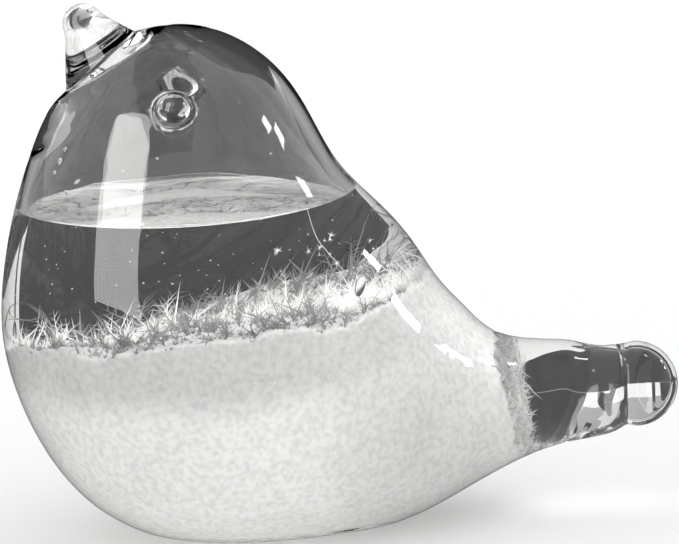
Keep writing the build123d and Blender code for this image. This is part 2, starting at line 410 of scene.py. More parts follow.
def finish_body(piece):
    """Cuts the beads' seats in the wall, and makes the inside above the liquid dry."""
    for node in ("left_eye", "right_eye"):
        cutter = seat_for(node)
        cut = piece.modifiers.new("seat", "BOOLEAN")
        cut.object = cutter
        cut.solver = "EXACT"
        applied(piece)
        bpy.data.objects.remove(cutter)
    form = bmesh.new()
    form.from_mesh(piece.data)
    cut = LEVEL + LIP_HEIGHT
    whole = [*form.verts, *form.edges, *form.faces]
    bmesh.ops.bisect_plane(form, geom=whole, plane_co=(0, 0, cut), plane_no=UP)
    for face in form.faces:
        if face.material_index == 1 and face.calc_center_median().z > cut:
            face.material_index = 0
    form.to_mesh(piece.data)
    form.free()
    return piece


# ---- The round tail end ----
class TailEnd:
    """The flame-rounded end: a short barrel and half a ball, with a round space in it."""

    def __init__(self):
        low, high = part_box("tail_end")
        self.mouth = low.x
        self.radius = (high.y - low.y) / 2
        self.height = (high.z + low.z) / 2
        self.centre = high.x - self.radius
        tree = tree_of("tail_end")
        hit = tree.ray_cast(Vector((self.centre, 0, self.height)), Vector((1, 0, 0)))
        self.hollow = hit[0].x - self.centre

    def ring(self, x, radius):
        ways = ways_round(np.array((0.0, 0.0, 1.0)))
        return np.array((x, 0, self.height)) + ways * radius

    def ball(self, radius, count=16):
        """Rings of the half ball, from its widest to near its pole."""
        angles = np.linspace(0, math.pi / 2, count, endpoint=False)
        return [self.ring(self.centre + radius * math.sin(a), radius * math.cos(a)) for a in angles]

    def outer_rings(self):
        steps = np.linspace(self.mouth, self.centre, 5)[:-1]
        return [self.ring(x, self.radius - seam_dent(x)) for x in steps] + self.ball(self.radius)

    def inner_rings(self, inset=0.0):
        radius = self.hollow - inset
        start = math.asin((self.mouth - self.centre) / self.hollow)
        angles = np.linspace(start, 0, 6)[:-1]
        places = [(self.centre + radius * math.sin(a), radius * math.cos(a)) for a in angles]
        return [self.ring(x, r - seam_dent(x)) for x, r in places] + self.ball(radius)

    def pole(self, radius):
        return (self.centre + radius, 0, self.height)


tail = TailEnd()


def make_tail_end():
    skin = Skin()
    outer = skin.rows(tail.outer_rings(), 0)
    inner = skin.rows(tail.inner_rings(), 1)
    skin.join(outer[0], inner[0], 2)
    skin.cap(outer[-1], tail.pole(tail.radius), 0)
    skin.cap(inner[-1], tail.pole(tail.hollow), 1)
    return skin.made("tail_end_rounded", [blown_glass, wetted_glass, fused_glass])


# ---- The beak ----
BEAK_TIP = np.array((-28.6, 0, 94.4)) * MM  # centre of the ball at the tip


def make_beak():
    tree = tree_of("beak")
    root, along = fan_plane(0)
    out = np.array((-along[2], 0, along[0]))
    tip_way = (BEAK_TIP - root) / np.linalg.norm(BEAK_TIP - root)
    tip_along = np.array((tip_way[2], 0, -tip_way[0]))
    centres, ways = [], []
    for share in np.linspace(0.01, 1, 14):
        mix = along * (1 - share) + tip_along * share
        centres.append(root + (BEAK_TIP - root) * share)
        ways.append(ways_round(mix / np.linalg.norm(mix)))
    for angle in np.linspace(0, math.pi / 2, 15, endpoint=False)[1:]:
        centres.append(BEAK_TIP)
        ways.append(ways_round(tip_along) * math.cos(angle) + tip_way * math.sin(angle))
    reach = smoothed(np.array([reach_of(tree, c, w, True) for c, w in zip(centres, ways)]), 3)
    rings = np.array(centres)[:, None] + np.array(ways) * reach[:, :, None]
    skin = Skin()
    rows = skin.rows(rings, 0)
    skin.disc(rows[0], root + out * 0.02 * MM, 1)
    skin.cap(rows[-1], BEAK_TIP + tip_way * reach[-1].mean(), 0)
    return skin.made("beak_drawn", [drawn_glass, fused_glass])


# ---- Eyes ----
BEAD_ROOT = 0.7 * MM  # how far a bead is sunk in the wall
BEAD_TURNS = np.linspace(0, 2 * math.pi, 96, endpoint=False)
GROOVE = 1.02  # beside the bead's radius: where it meets the wall
RIDGE = 1.26  # the glass that it pushed up as it was pressed on
RIDGE_HEIGHT = 0.42 * MM
RIDGE_PROFILE = [  # how far out over the ridge, and how high
    (0.0, 0.0),
    (0.3, 0.4),
    (0.55, 0.9),
    (0.75, 1.0),
    (0.95, 0.8),
    (1.25, 0.3),
    (1.6, 0.0),
]
ROOT_SHARES = (1.0, 0.66, 0.33)  # rings under a bead, from its edge to its middle
FAR_RIDGE = 0.1  # the far bead's is lower, so that it hardly shows through the head
SEAT_LID = 1.5 * MM  # how far the tool that cuts a seat stands over the wall


def outer_shell():
    """The outside of the body alone, to seat the beads on."""
    skin = Skin()
    rows = skin.rows(outside.rings())
    skin.cap(rows[0], outside.centres[0])
    skin.cap(rows[-1], outside.centres[-1])
    return skin.tree()


shell = outer_shell()


class Bead:
    """A ball of glass pressed on one side of the head: what stands proud of the wall, and its root."""

    def __init__(self, node):
        points = np.array([v.co[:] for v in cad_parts[node].data.vertices])
        proud = np.abs(points[:, 1])
        ball = points[proud > proud.min() + 0.55 * np.ptp(proud)]
        matrix = np.hstack([2 * ball, np.ones((len(ball), 1))])
        found = np.linalg.lstsq(matrix, (ball**2).sum(1), rcond=None)[0]
        self.centre = Vector(found[:3])
        self.radius = math.sqrt(found[3] + found[:3] @ found[:3])
        self.side = math.copysign(1.0, self.centre.y)
        _, self.normal, _, _ = shell.find_nearest(self.centre)
        self.normal *= math.copysign(1.0, self.normal.y * self.side)
        self.across = self.normal.cross(UP).normalized()
        self.up = self.across.cross(self.normal)

    def on_wall(self, angle, distance, height):
        """A point at a height over the wall, at a distance from the bead's middle."""
        flat = self.centre + (self.across * math.cos(angle) + self.up * math.sin(angle)) * distance
        hit = shell.ray_cast(flat + self.normal * 0.01, -self.normal)
        return hit[0] + self.normal * height

    def ridge(self, angle):
        """The pushed-up glass, which is highest over the bead."""
        share = 0.35 + 0.65 * ramp(self.up.z * math.sin(angle), -0.3, 1.1)
        return RIDGE_HEIGHT * share * (1.0 if self.side < 0 else FAR_RIDGE)

    def around(self, distance, height):
        """A ring on the wall round the bead's middle."""
        return [self.on_wall(a, distance, height) for a in BEAD_TURNS]

    def ball_ring(self, lift):
        """A ring of the ball itself, at an angle over its widest."""
        flat, high = self.radius * math.cos(lift), self.radius * math.sin(lift)
        ways = [self.across * math.cos(a) + self.up * math.sin(a) for a in BEAD_TURNS]
        return [self.centre + self.normal * high + way * flat for way in ways]

    def rings(self):
        """From the bead's pole down its side, over the ridge and back under the wall to its root."""
        rim = (self.on_wall(0.0, 0.0, 0.0) - self.centre).dot(self.normal)
        lifts = np.linspace(math.pi / 2, math.asin(rim / self.radius) + 0.06, 22)[1:]
        rings = [self.ball_ring(lift) for lift in lifts]
        start = self.radius * GROOVE
        for out, high in RIDGE_PROFILE:
            distance = start + (RIDGE - GROOVE) * self.radius * out
            rings.append([self.on_wall(a, distance, self.ridge(a) * high + 0.01 * MM) for a in BEAD_TURNS])
        return rings + [self.around(self.edge() * share, -BEAD_ROOT) for share in ROOT_SHARES]

    def edge(self):
        """How far from the bead's middle its ridge ends."""
        return self.radius * (GROOVE + (RIDGE - GROOVE) * RIDGE_PROFILE[-1][0])


def make_eye(name, node):
    bead = Bead(node)
    skin = Skin()
    rows = skin.rows([np.array([p[:] for p in ring]) for ring in bead.rings()])
    skin.cap(rows[0], (bead.centre + bead.normal * bead.radius)[:])
    skin.cap(rows[-1], bead.on_wall(0.0, 0.0, -BEAD_ROOT)[:], 1)
    piece = skin.made(name, [drawn_glass, fused_glass])
    for face in piece.data.polygons:
        near, normal, _, _ = shell.find_nearest(face.center)
        if (face.center - near).dot(normal) < -0.002 * MM:
            face.material_index = 1
    return piece


def seat_for(node):
    """The hollow that a bead's root fills, as a cutter."""
    bead = Bead(node)
    skin = Skin()
    over = [bead.around(bead.edge() * share, SEAT_LID) for share in (0.4, 1.0)]
    under = [bead.around(bead.edge() * share, -BEAD_ROOT) for share in ROOT_SHARES]
    rows = skin.rows([np.array([p[:] for p in ring]) for ring in [*over, *under]])
    skin.cap(rows[0], bead.on_wall(0.0, 0.0, SEAT_LID)[:])
    skin.cap(rows[-1], bead.on_wall(0.0, 0.0, -BEAD_ROOT)[:])
    cutter = skin.made("seat", [blown_glass, wetted_glass, fused_glass])
    for face in cutter.data.polygons:
        face.material_index = 2
    return cutter


# ---- The liquid ----
def cavity_skin(inset):
    """The whole space inside the glass, closed, at an inset from the wall."""
    skin = Skin()
    rings = [*inside.rings(inset), *tail.inner_rings(inset)]
    rows = skin.rows(rings)
    skin.disc(rows[0], inside.centres[0], bulge=nose_bulge)
    skin.cap(rows[-1], tail.pole(tail.hollow - inset))
    return skin


def loop_in_order(edges):
    """The points of a closed loop of edges, in order."""
    links = {}
    for edge in edges:
        a, b = edge.verts
        links.setdefault(a, []).append(b)
        links.setdefault(b, []).append(a)
    start = next(iter(links))
    loop, before = [start], None
    while True:
        onward = next(v for v in links[loop[-1]] if v is not before)
        if onward is start:
            return loop
        before = loop[-1]
        loop.append(onward)


LIP_STEPS = (0.15, 0.35, 0.6, 0.9, 1.3, 1.8, 2.5, 3.5, 5, 8, 12, 17)  # mm in from the glass


def make_liquid():
    mesh = cavity_skin(FILM).mesh("storm_liquid_clear")
    form = bmesh.new()
    form.from_mesh(mesh)
    cut = LEVEL + LIP_HEIGHT
    whole = [*form.verts, *form.edges, *form.faces]
    made = bmesh.ops.bisect_plane(form, geom=whole, plane_co=(0, 0, cut), plane_no=UP, clear_outer=True)
    edges = [e for e in made["geom_cut"] if isinstance(e, bmesh.types.BMEdge)]
    for face in form.faces:
        face.material_index = 1
    ring = loop_in_order(edges)
    edge = np.array([v.co[:] for v in ring])
    middle = edge.mean(0)
    length = np.linalg.norm(edge - middle, axis=1)
    for depth in LIP_STEPS:
        share = 1 - depth * MM / length
        points = middle + (edge - middle) * share[:, None]
        points[:, 2] = LEVEL + LIP_HEIGHT * math.exp(-depth * MM / LIP_REACH)
        inner = [form.verts.new(p) for p in points]
        for j in range(len(ring)):
            k = (j + 1) % len(ring)
            form.faces.new((ring[j], ring[k], inner[k], inner[j]))
        ring = inner
    pole = form.verts.new((middle[0], middle[1], LEVEL))
    for j in range(len(ring)):
        form.faces.new((ring[j], ring[(j + 1) % len(ring)], pole))
    form.to_mesh(mesh)
    form.free()
    return finished("storm_liquid_clear", mesh, [liquid_top, liquid_side])


# ---- The crystal bed ----
BED_GAP = 0.35 * MM  # from the glass to the crystals
SLUMP = 7.0 * MM  # how much lower the crystals lie along the bird's left side
SLUMP_START = -27 * MM
SLUMP_RUN = 52 * MM
HEAP = 2.4 * MM  # how much higher they lie along its right side, at the breast
MOUND = 2.2 * MM  # and still higher from the middle to the back
MOUND_START = -23 * MM
CLIMB = 3.5 * MM  # and climb the wall of the back
CLIMB_START = 17 * MM
RISE_RUN = 13 * MM
LOOSE_AND_SHADED_DEPTH = 14 * MM  # the greyer band at the top of the bed: partly its loose crystals, partly painted shade on faces that don't face up
TAIL_SHADE = 0.75  # painted shade, greyer towards the tail
TAIL_SHADE_RUN = 30 * MM


bed_tree = tree_of("crystal_bed")
bed_low, bed_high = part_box("crystal_bed")


def bed_height(x):
    hit = bed_tree.ray_cast(Vector((x, 0, FAR)), -UP)
    return hit[0].z if hit[0] else 0.0


def bank_face(z):
    hit = bed_tree.ray_cast(Vector((FAR, 0, z)), Vector((-1, 0, 0)))
    return hit[0].x if hit[0] else 0.0


def make_bed():
    skin = cavity_skin(BED_GAP)
    skin.points = np.array(skin.points)
    xs = np.linspace(bed_low.x + 1 * MM, bed_high.x - 12 * MM, 60)
    heights = [bed_height(x) for x in xs]
    zs = np.linspace(bed_low.z + 6 * MM, bed_high.z - 2 * MM, 40)
    faces = [bank_face(z) for z in zs]
    for point in skin.points:
        lump = uneven(point, 9 * MM, 3) * 1.6 * MM + uneven(point, 3 * MM, 7) * 0.7 * MM
        point[0] = min(point[0], np.interp(point[2], zs, faces) + lump)
        top = np.interp(point[0], xs, heights)
        lump = uneven((point[0], point[1], 0), 11 * MM, 5) * 1.6 * MM
        lump += uneven((point[0], point[1], 0), 3.5 * MM, 9) * 0.8 * MM
        climb = ramp(point[0], CLIMB_START, RISE_RUN)
        lump += HEAP + MOUND * ramp(point[0], MOUND_START, RISE_RUN) + CLIMB * climb
        lump -= SLUMP * ramp(point[1], SLUMP_START, SLUMP_RUN) * (1 - 0.6 * climb)
        point[2] = min(point[2], top + lump)
    piece = finished("crystal_bed_packed", skin.mesh("crystal_bed_packed"), [packed_crystals])
    remesh = piece.modifiers.new("even_faces", "REMESH")
    remesh.mode = "VOXEL"
    remesh.voxel_size = 0.9 * MM
    remesh.use_smooth_shade = True
    piece = applied(piece)
    loose = piece.data.attributes.new("loose", "FLOAT", "POINT")
    for vertex, value in zip(piece.data.vertices, loose.data):
        top = np.interp(vertex.co.x, xs, heights) + HEAP
        # Painted shade: faces that don't face up, and the bed towards the tail, are marked greyer.
        upright = 1 - ramp(vertex.normal.z, 0.3, 0.4)
        beside = TAIL_SHADE * ramp(vertex.co.x, 0, TAIL_SHADE_RUN)
        value.value = upright * max(ramp(vertex.co.z, top - LOOSE_AND_SHADED_DEPTH, 0.7 * LOOSE_AND_SHADED_DEPTH), beside)
    return piece


def applied(piece):
    """Turns a piece's modifiers into plain mesh."""
    bpy.context.view_layer.update()
    seen = bpy.context.evaluated_depsgraph_get()
    mesh = bpy.data.meshes.new_from_object(piece.evaluated_get(seen), depsgraph=seen)
    piece.modifiers.clear()
    piece.data = mesh
    return piece


# ---- Crystals grown with geometry nodes ----
class Tree:
    """A tree of geometry nodes: seats in, pieces out, and named inputs for the sizes."""

    def __init__(self, name, inputs):
        self.group = bpy.data.node_groups.new(name, "GeometryNodeTree")
        self.socket("Seats", "Geometry", "INPUT")
        for label, kind in inputs.items():
            self.socket(label, kind, "INPUT")
        self.socket("Geometry", "Geometry", "OUTPUT")
        self.given = self.node("NodeGroupInput").outputs
        self.result = self.node("NodeGroupOutput").inputs["Geometry"]

    def socket(self, label, kind, side):
        self.group.interface.new_socket(label, in_out=side, socket_type="NodeSocket" + kind)

    def node(self, kind, settings=None, **inputs):
        """A node with its inputs linked to sockets or set to values; a number in a key is a place."""
        node = self.group.nodes.new(kind)
        for key, value in (settings or {}).items():
            setattr(node, key, value)
        for key, value in inputs.items():
            where = node.inputs[int(key[1:])] if key[0] == "_" else node.inputs[key.replace("_", " ")]
            if isinstance(value, bpy.types.NodeSocket):
                self.group.links.new(value, where)
            else:
                where.default_value = value
        return node

    def maths(self, operation, a, b):
        return self.node("ShaderNodeMath", {"operation": operation}, _0=a, _1=b).outputs[0]

    def between(self, low, high, seed):
        """A random number for each point."""
        number = {"data_type": "FLOAT"}
        return self.node("FunctionNodeRandomValue", number, _2=low, _3=high, Seed=seed).outputs[1]

    def way(self, x, y, z):
        return self.node("ShaderNodeCombineXYZ", X=x, Y=y, Z=z).outputs[0]

    def finish(self, geometry):
        whole = self.node("GeometryNodeRealizeInstances", Geometry=geometry).outputs[0]
        painted = self.node("GeometryNodeSetMaterial", Geometry=whole, Material=self.given["Material"])
        self.group.links.new(painted.outputs[0], self.result)


SPRAY_SIZES = ("Density", "Length", "Shortest", "Thickness", "Reach", "Splay", "Turn", "Side Length", "Tilt")
SPRAY_OTHERS = {"Side Needles": "Int", "Seed": "Int", "Material": "Material"}


def spray_tree(name, on_faces):
    """Sprays of needles on seats: a stem and side needles up it, each leaning and turned from the last."""
    tree = Tree(name, {**dict.fromkeys(SPRAY_SIZES, "Float"), **SPRAY_OTHERS})
    given = tree.given
    cone = tree.node(
        "GeometryNodeMeshCone",
        {"fill_type": "NGON"},
        Vertices=4,
        Radius_Top=0.0,
        Radius_Bottom=tree.maths("MULTIPLY", given["Thickness"], 0.5),
        Depth=1.0,
    ).outputs["Mesh"]
    step = tree.maths("DIVIDE", given["Reach"], given["Side Needles"])
    stem = tree.node(
        "GeometryNodeMeshLine",
        {"mode": "OFFSET"},
        Count=given["Side Needles"],
        Start_Location=(0, 0, 0.02),
        Offset=tree.way(0.0, 0.0, step),
    )
    index = tree.node("GeometryNodeInputIndex").outputs[0]
    lean = tree.maths("MULTIPLY", given["Splay"], tree.between(0.55, 1.15, 1))
    turned = tree.way(lean, 0.0, tree.maths("MULTIPLY", given["Turn"], index))
    size = tree.maths("MULTIPLY", given["Side Length"], tree.between(0.5, 1.0, 2))
    sides = tree.node(
        "GeometryNodeInstanceOnPoints", Points=stem.outputs[0], Instance=cone, Rotation=turned, Scale=size
    )
    spray = tree.node("GeometryNodeJoinGeometry")
    tree.group.links.new(cone, spray.inputs[0])
    tree.group.links.new(sides.outputs[0], spray.inputs[0])
    tilt = given["Tilt"]
    minus = tree.maths("MULTIPLY", tilt, -1.0)
    seed = given["Seed"]
    later = [tree.maths("ADD", seed, float(k)) for k in (3, 5, 7, 9)]
    lean_x, lean_y = (tree.between(minus, tilt, other) for other in later[:2])
    spin = tree.way(lean_x, lean_y, tree.between(0.0, 6.28, later[2]))
    turn = tree.node("FunctionNodeEulerToRotation", Euler=spin).outputs[0]
    if on_faces:
        spots = tree.node(
            "GeometryNodeDistributePointsOnFaces", Mesh=given["Seats"], Density=given["Density"], Seed=seed
        )
        local = {"rotation_space": "LOCAL"}
        upright = spots.outputs["Rotation"]
        turn = tree.node("FunctionNodeRotateRotation", local, Rotation=upright, Rotate_By=turn).outputs[0]
    else:
        spots = tree.node("GeometryNodeMeshToPoints", Mesh=given["Seats"])
    length = tree.maths("MULTIPLY", given["Length"], tree.between(given["Shortest"], 1.0, later[3]))
    sprays = tree.node(
        "GeometryNodeInstanceOnPoints",
        Points=spots.outputs[0],
        Instance=spray.outputs[0],
        Rotation=turn,
        Scale=length,
    )
    tree.finish(sprays.outputs[0])
    return tree.group


def drop_tree():
    """Low round drops on the wall: one at each seat, flat against it, as large as the seat says."""
    tree = Tree("drops_on_glass", {"Size": "Float", "Flatness": "Float", "Material": "Material"})
    given = tree.given

    def attribute(name, kind):
        return tree.node("GeometryNodeInputNamedAttribute", {"data_type": kind}, Name=name).outputs[0]

    ball = tree.node("GeometryNodeMeshIcoSphere", Radius=1.0, Subdivisions=3).outputs["Mesh"]
    across = tree.maths("MULTIPLY", given["Size"], attribute("size", "FLOAT"))
    height = tree.maths("MULTIPLY", across, attribute("tall", "FLOAT"))
    form = tree.way(across, height, tree.maths("MULTIPLY", across, given["Flatness"]))
    out = attribute("out", "FLOAT_VECTOR")
    facing = tree.node("FunctionNodeAlignRotationToVector", {"axis": "Z"}, Vector=out).outputs[0]
    spots = tree.node("GeometryNodeMeshToPoints", Mesh=given["Seats"]).outputs[0]
    many = tree.node("GeometryNodeInstanceOnPoints", Points=spots, Instance=ball, Rotation=facing, Scale=form)
    tree.finish(many.outputs[0])
    return tree.group


def grown(seats, tree, **values):
    """The plain mesh that a tree makes on a mesh of seats."""
    piece = bpy.data.objects.new("growing", seats)
    bpy.context.scene.collection.objects.link(piece)
    growth = piece.modifiers.new("growth", "NODES")
    growth.node_group = tree
    for item in tree.interface.items_tree:
        name = item.name.replace(" ", "_")
        if item.in_out == "INPUT" and name in values:
            growth[item.identifier] = values[name]
    mesh = applied(piece).data
    bpy.data.objects.remove(piece)
    return mesh


def joined(name, meshes, materials):
    form = bmesh.new()
    for mesh in meshes:
        form.from_mesh(mesh)
    mesh = bpy.data.meshes.new(name)
    form.to_mesh(mesh)
    form.free()
    return finished(name, mesh, materials)


# ---- Seats for the crystals ----
NEEDLE_GAP = 0.45 * MM  # from the glass to the needles
room = cavity_skin(NEEDLE_GAP).tree()


def kept_inside(mesh):
    """Lays whatever would pass through the glass flat against the inside of it."""
    for vertex in mesh.vertices:
        near, normal, _, _ = room.find_nearest(vertex.co)
        if (vertex.co - near).dot(normal) > 0:
            vertex.co = near
    return mesh


def bed_faces(chosen):
    """The faces of the crystal bed, as a mesh of seats, where chosen says so of a centre and a normal."""
    faces = [f for f in bed.data.polygons if chosen(f.center, f.normal)]
    used = sorted({v for face in faces for v in face.vertices})
    place = {v: i for i, v in enumerate(used)}
    seats = bpy.data.meshes.new("seats")
    points = [bed.data.vertices[v].co[:] for v in used]
    seats.from_pydata(points, [], [[place[v] for v in face.vertices] for face in faces])
    return seats


def top_between(low, high):
    return bed_faces(lambda c, n: low <= c.x < high and n.z > 0.35 and c.z > bed_high.z - 16 * MM)


def point_seats(points):
    seats = bpy.data.meshes.new("seats")
    seats.from_pydata([tuple(p) for p in points], [], [])
    return seats


def flake_places():
    """The middle of each flake of the model."""
    form = bmesh.new()
    form.from_mesh(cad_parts["drifting_flakes"].data)
    bmesh.ops.remove_doubles(form, verts=form.verts, dist=1e-6)
    left, middles = set(form.verts), []
    while left:
        reached, island = [left.pop()], []
        while reached:
            vertex = reached.pop()
            island.append(vertex.co.copy())
            for edge in vertex.link_edges:
                other = edge.other_vert(vertex)
                if other in left:
                    left.remove(other)
                    reached.append(other)
        middles.append(sum(island, Vector()) / len(island))
    form.free()
    return sorted(middles, key=lambda m: m.x)


def keep(piece, slot, *nodes):
    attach(piece, "root")
    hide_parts(*nodes)
    return piece


keep(finish_body(make_body()), "clear_glass", "glass_body")
keep(make_tail_end(), "clear_glass", "tail_end")
keep(make_beak(), "clear_glass", "beak")
keep(make_eye("right_eye_bead", "right_eye"), "clear_glass", "right_eye")
keep(make_eye("left_eye_bead", "left_eye"), "clear_glass", "left_eye")
keep(make_liquid(), "storm_liquid", "storm_liquid")
bed = keep(make_bed(), "camphor_crystal", "crystal_bed")

# ---- Ferns and needles ----
GOLDEN_TURN = 2.4  # radians from one side needle to the next, so that none lie over another
FLAT_TURN = math.pi  # side needles left and right, as on a fern
on_bed = spray_tree("sprays_on_crystals", True)
adrift = spray_tree("sprays_adrift", False)

BIG_SPRAYS = dict(
    Density=70e3, Length=5.6 * MM, Shortest=0.35, Thickness=0.085, Side_Needles=7, Reach=0.3, Splay=1.0,
    Turn=GOLDEN_TURN, Side_Length=0.8, Tilt=0.9,
)
FERNS = dict(
    Density=32e3, Length=7.5 * MM, Shortest=0.45, Thickness=0.06, Side_Needles=11, Reach=0.85, Splay=0.95,
    Turn=FLAT_TURN, Side_Length=0.38, Tilt=1.0,
)
GRAINS = dict(
    Density=420e3, Length=1.8 * MM, Shortest=0.35, Thickness=0.16, Side_Needles=4, Reach=0.1, Splay=1.2,
    Turn=GOLDEN_TURN, Side_Length=0.9, Tilt=1.0,
)
LONG_NEEDLES = dict(
    Density=8e3, Length=9.0 * MM, Shortest=0.5, Thickness=0.045, Side_Needles=1, Reach=0.3, Splay=0.6,
    Turn=GOLDEN_TURN, Side_Length=0.3, Tilt=1.5,
)
TAIL_SPRAYS = dict(BIG_SPRAYS, Density=300e3, Length=4.2 * MM, Tilt=0.8)
TAIL_NEEDLES = dict(LONG_NEEDLES, Density=60e3, Length=6.0 * MM, Tilt=1.0)


def make_growth(name, seats, habits, seed):
    """One piece of many sprays: each habit is a way of growing on the same seats."""
    meshes = [
        grown(seats.copy(), on_bed, Seed=seed + 10 * place, Material=fern_crystals, **habit)
        for place, habit in enumerate(habits)
    ]
    piece = joined(name, meshes, [fern_crystals])
    kept_inside(piece.data)
    # Painted shade: the mask greys the sprays towards the bird's sides and towards the tail.
    loose = piece.data.attributes.new("loose", "FLOAT", "POINT")
    for vertex, value in zip(piece.data.vertices, loose.data):
        beside = ramp(abs(vertex.co.y), 9 * MM, 9 * MM)
        value.value = max(0.85 * beside, 0.5 * ramp(vertex.co.x, 22 * MM, 12 * MM))
    return piece


top_habits = [BIG_SPRAYS, FERNS, GRAINS, LONG_NEEDLES]
top_groups = [("breast_ferns", -60, -16), ("middle_ferns", -16, 6), ("back_ferns", 6, 60)]
for place, (name, low, high) in enumerate(top_groups):
    piece = make_growth(name + "_grown", top_between(low * MM, high * MM), top_habits, place + 1)
    keep(piece, "camphor_crystal", name)



def in_the_tail(centre, normal):
    return normal.x > 0.3 and centre.x > bed_high.x - 16 * MM and centre.z < bed_high.z - 3 * MM


bank_seats = bed_faces(in_the_tail)
bank = make_growth("tail_ferns_grown", bank_seats, [TAIL_SPRAYS, GRAINS, TAIL_NEEDLES], 4)
keep(bank, "camphor_crystal", "tail_ferns")

# ---- Drops on the dry wall, and bubbles in the glass ----
# How far along and up the right side, how large, and how tall beside its width.
DROPS = [
    (-10, 91, 0.3, 1.0),
    (-9, 88, 0.35, 1.0),
    (-7, 84, 0.3, 1.2),
    (-15, 72, 0.25, 1.0),
    (-1, 80, 0.2, 1.0),
    (-21, 70, 0.25, 1.0),
    (-23, 75, 0.2, 1.0),
    (4, 71, 0.25, 1.0),
    (-31, 73, 0.5, 0.8),
    (-32, 71, 0.7, 0.8),
    (-33, 69, 0.5, 0.9),
    (-29, 68, 0.8, 0.3),
    (-31, 66, 0.45, 1.3),
]
BUBBLE_DEPTH = 0.9 * MM  # under the outside of the glass
BUBBLES = [
    (20, 48, 1.0, 2.3),
    (23, 45, 0.35, 1.6),
    (8, 49, 0.25, 1.0),
    (13, 48, 0.2, 1.0),
    (62, 27, 0.3, 0.7),
]


def wall_seats(places, tree, sunk):
    """Seats under the wall of the right side, with each one's size, height and way out."""
    spots, sizes, talls, outs = [], [], [], []
    for x, z, size, tall in places:
        hit, normal, _, _ = tree.ray_cast(Vector((x * MM, -FAR, z * MM)), Vector((0, 1, 0)))
        if hit:
            spots.append(hit - normal * sunk)
            sizes.append(size)
            talls.append(tall)
            outs.append(normal)
    seats = point_seats(spots)
    seats.attributes.new("size", "FLOAT", "POINT").data.foreach_set("value", sizes)
    seats.attributes.new("tall", "FLOAT", "POINT").data.foreach_set("value", talls)
    ways = [v for out in outs for v in out]
    seats.attributes.new("out", "FLOAT_VECTOR", "POINT").data.foreach_set("vector", ways)
    return seats


drops = drop_tree()
on_wall = wall_seats(DROPS, room, -NEEDLE_GAP)
on_wall = grown(on_wall, drops, Size=1 * MM, Flatness=0.45, Material=drop_liquid)
keep(joined("condensation_drops", [on_wall], [drop_liquid]), "storm_liquid")
in_glass = wall_seats(BUBBLES, shell, BUBBLE_DEPTH)
in_glass = grown(in_glass, drops, Size=1 * MM, Flatness=0.4, Material=bubble_air)
keep(joined("trapped_bubbles", [in_glass], [bubble_air]), "clear_glass")

# ---- Flakes and specks adrift ----
SPECKS = 110  # tiny crystals all through the liquid
random.seed(5)
flakes = []
for place in flake_places():
    for _ in range(3):
        flakes.append(place + Vector((random.uniform(-1, 1), 0, random.uniform(-1, 1))) * MM)
specks = []
while len(specks) < SPECKS:
    spot = Vector((random.uniform(-38, 40) * MM, random.uniform(-34, 34) * MM, random.uniform(40, 58) * MM))
    near, normal, _, _ = room.find_nearest(spot)
    if (spot - near).dot(normal) < -2 * MM:
        specks.append(spot)
STARS = dict(
    Length=1.3 * MM, Shortest=0.4, Thickness=0.14, Side_Needles=9, Reach=0.1, Splay=2.4, Turn=GOLDEN_TURN,
    Side_Length=0.9, Tilt=3.1,
)
MOTES = dict(STARS, Length=0.3 * MM, Thickness=0.6, Side_Needles=3)
star_mesh = grown(point_seats(flakes), adrift, Seed=21, Material=fern_crystals, **STARS)
mote_mesh = grown(point_seats(specks), adrift, Seed=22, Material=fern_crystals, **MOTES)
drifting = joined("drifting_flakes_grown", [star_mesh, mote_mesh], [fern_crystals])
kept_inside(drifting.data)
keep(drifting, "camphor_crystal", "drifting_flakes")

# ---- The camera ----
CAMERA_HEIGHT = 9.5  # degrees over the horizon
CAMERA_ROLL = 2.7
CAMERA_DISTANCE = 0.7
CAMERA_AIM = Vector((0.0161, 0, 0.0462))
CAMERA_LENS = 200.8

camera = bpy.data.objects.new("camera", bpy.data.cameras.new("camera"))
bpy.context.scene.collection.objects.link(camera)
rise = math.radians(CAMERA_HEIGHT)
back = Vector((0, -math.cos(rise), math.sin(rise)))
camera.location = CAMERA_AIM + back * CAMERA_DISTANCE
facing = (-back).to_track_quat("-Z", "Y").to_matrix()
camera.rotation_euler = (facing @ Matrix.Rotation(-math.radians(CAMERA_ROLL), 3, "Z")).to_euler()
camera.data.lens = CAMERA_LENS
camera.data.clip_start = 0.01
bpy.context.scene.camera = camera

# ---- The studio ----
PAPER = 0.8  # the floor's lightness
DAYLIGHT = 1.25  # on the floor
CARD_DISTANCE = 0.115  # behind the bird
NEVER = dict(camera=False, diffuse=False, glossy=False, transmission=False, shadow=False)


def sheet_of(name, corners, material, **seen_by):
    """A flat sheet of the studio, and the kinds of ray that it shows to."""
    mesh = bpy.data.meshes.new(name)
    mesh.from_pydata([tuple(c) for c in corners], [], [tuple(range(len(corners)))])
    mesh.materials.append(material)
    made = bpy.data.objects.new(name, mesh)
    bpy.context.scene.collection.objects.link(made)
    for ray, seen in seen_by.items():
        setattr(made, "visible_" + ray, seen)
    return made


def glowing(name, shade, on_crystals=None):
    """A plain glow, which may be another one for the light that the crystals catch."""
    material, tree, shader = new_material(name)
    set_values(shader, {"Base Color": (0, 0, 0, 1), "Specular IOR Level": 0.0, "Emission Strength": shade})
    shader.inputs["Emission Color"].default_value = (1, 1, 0.985, 1)
    material.cycles.emission_sampling = "NONE"
    if on_crystals is not None:
        path = add(tree, "ShaderNodeLightPath")
        scattered = add(tree, "ShaderNodeMath", {1: 0.5}, operation="GREATER_THAN")
        level = add(tree, "ShaderNodeMix", {"A": shade, "B": on_crystals}, data_type="FLOAT")
        tree.links.new(path.outputs["Diffuse Depth"], scattered.inputs[0])
        tree.links.new(scattered.outputs["Value"], level.inputs["Factor"])
        tree.links.new(level.outputs["Result"], shader.inputs["Emission Strength"])
    return material


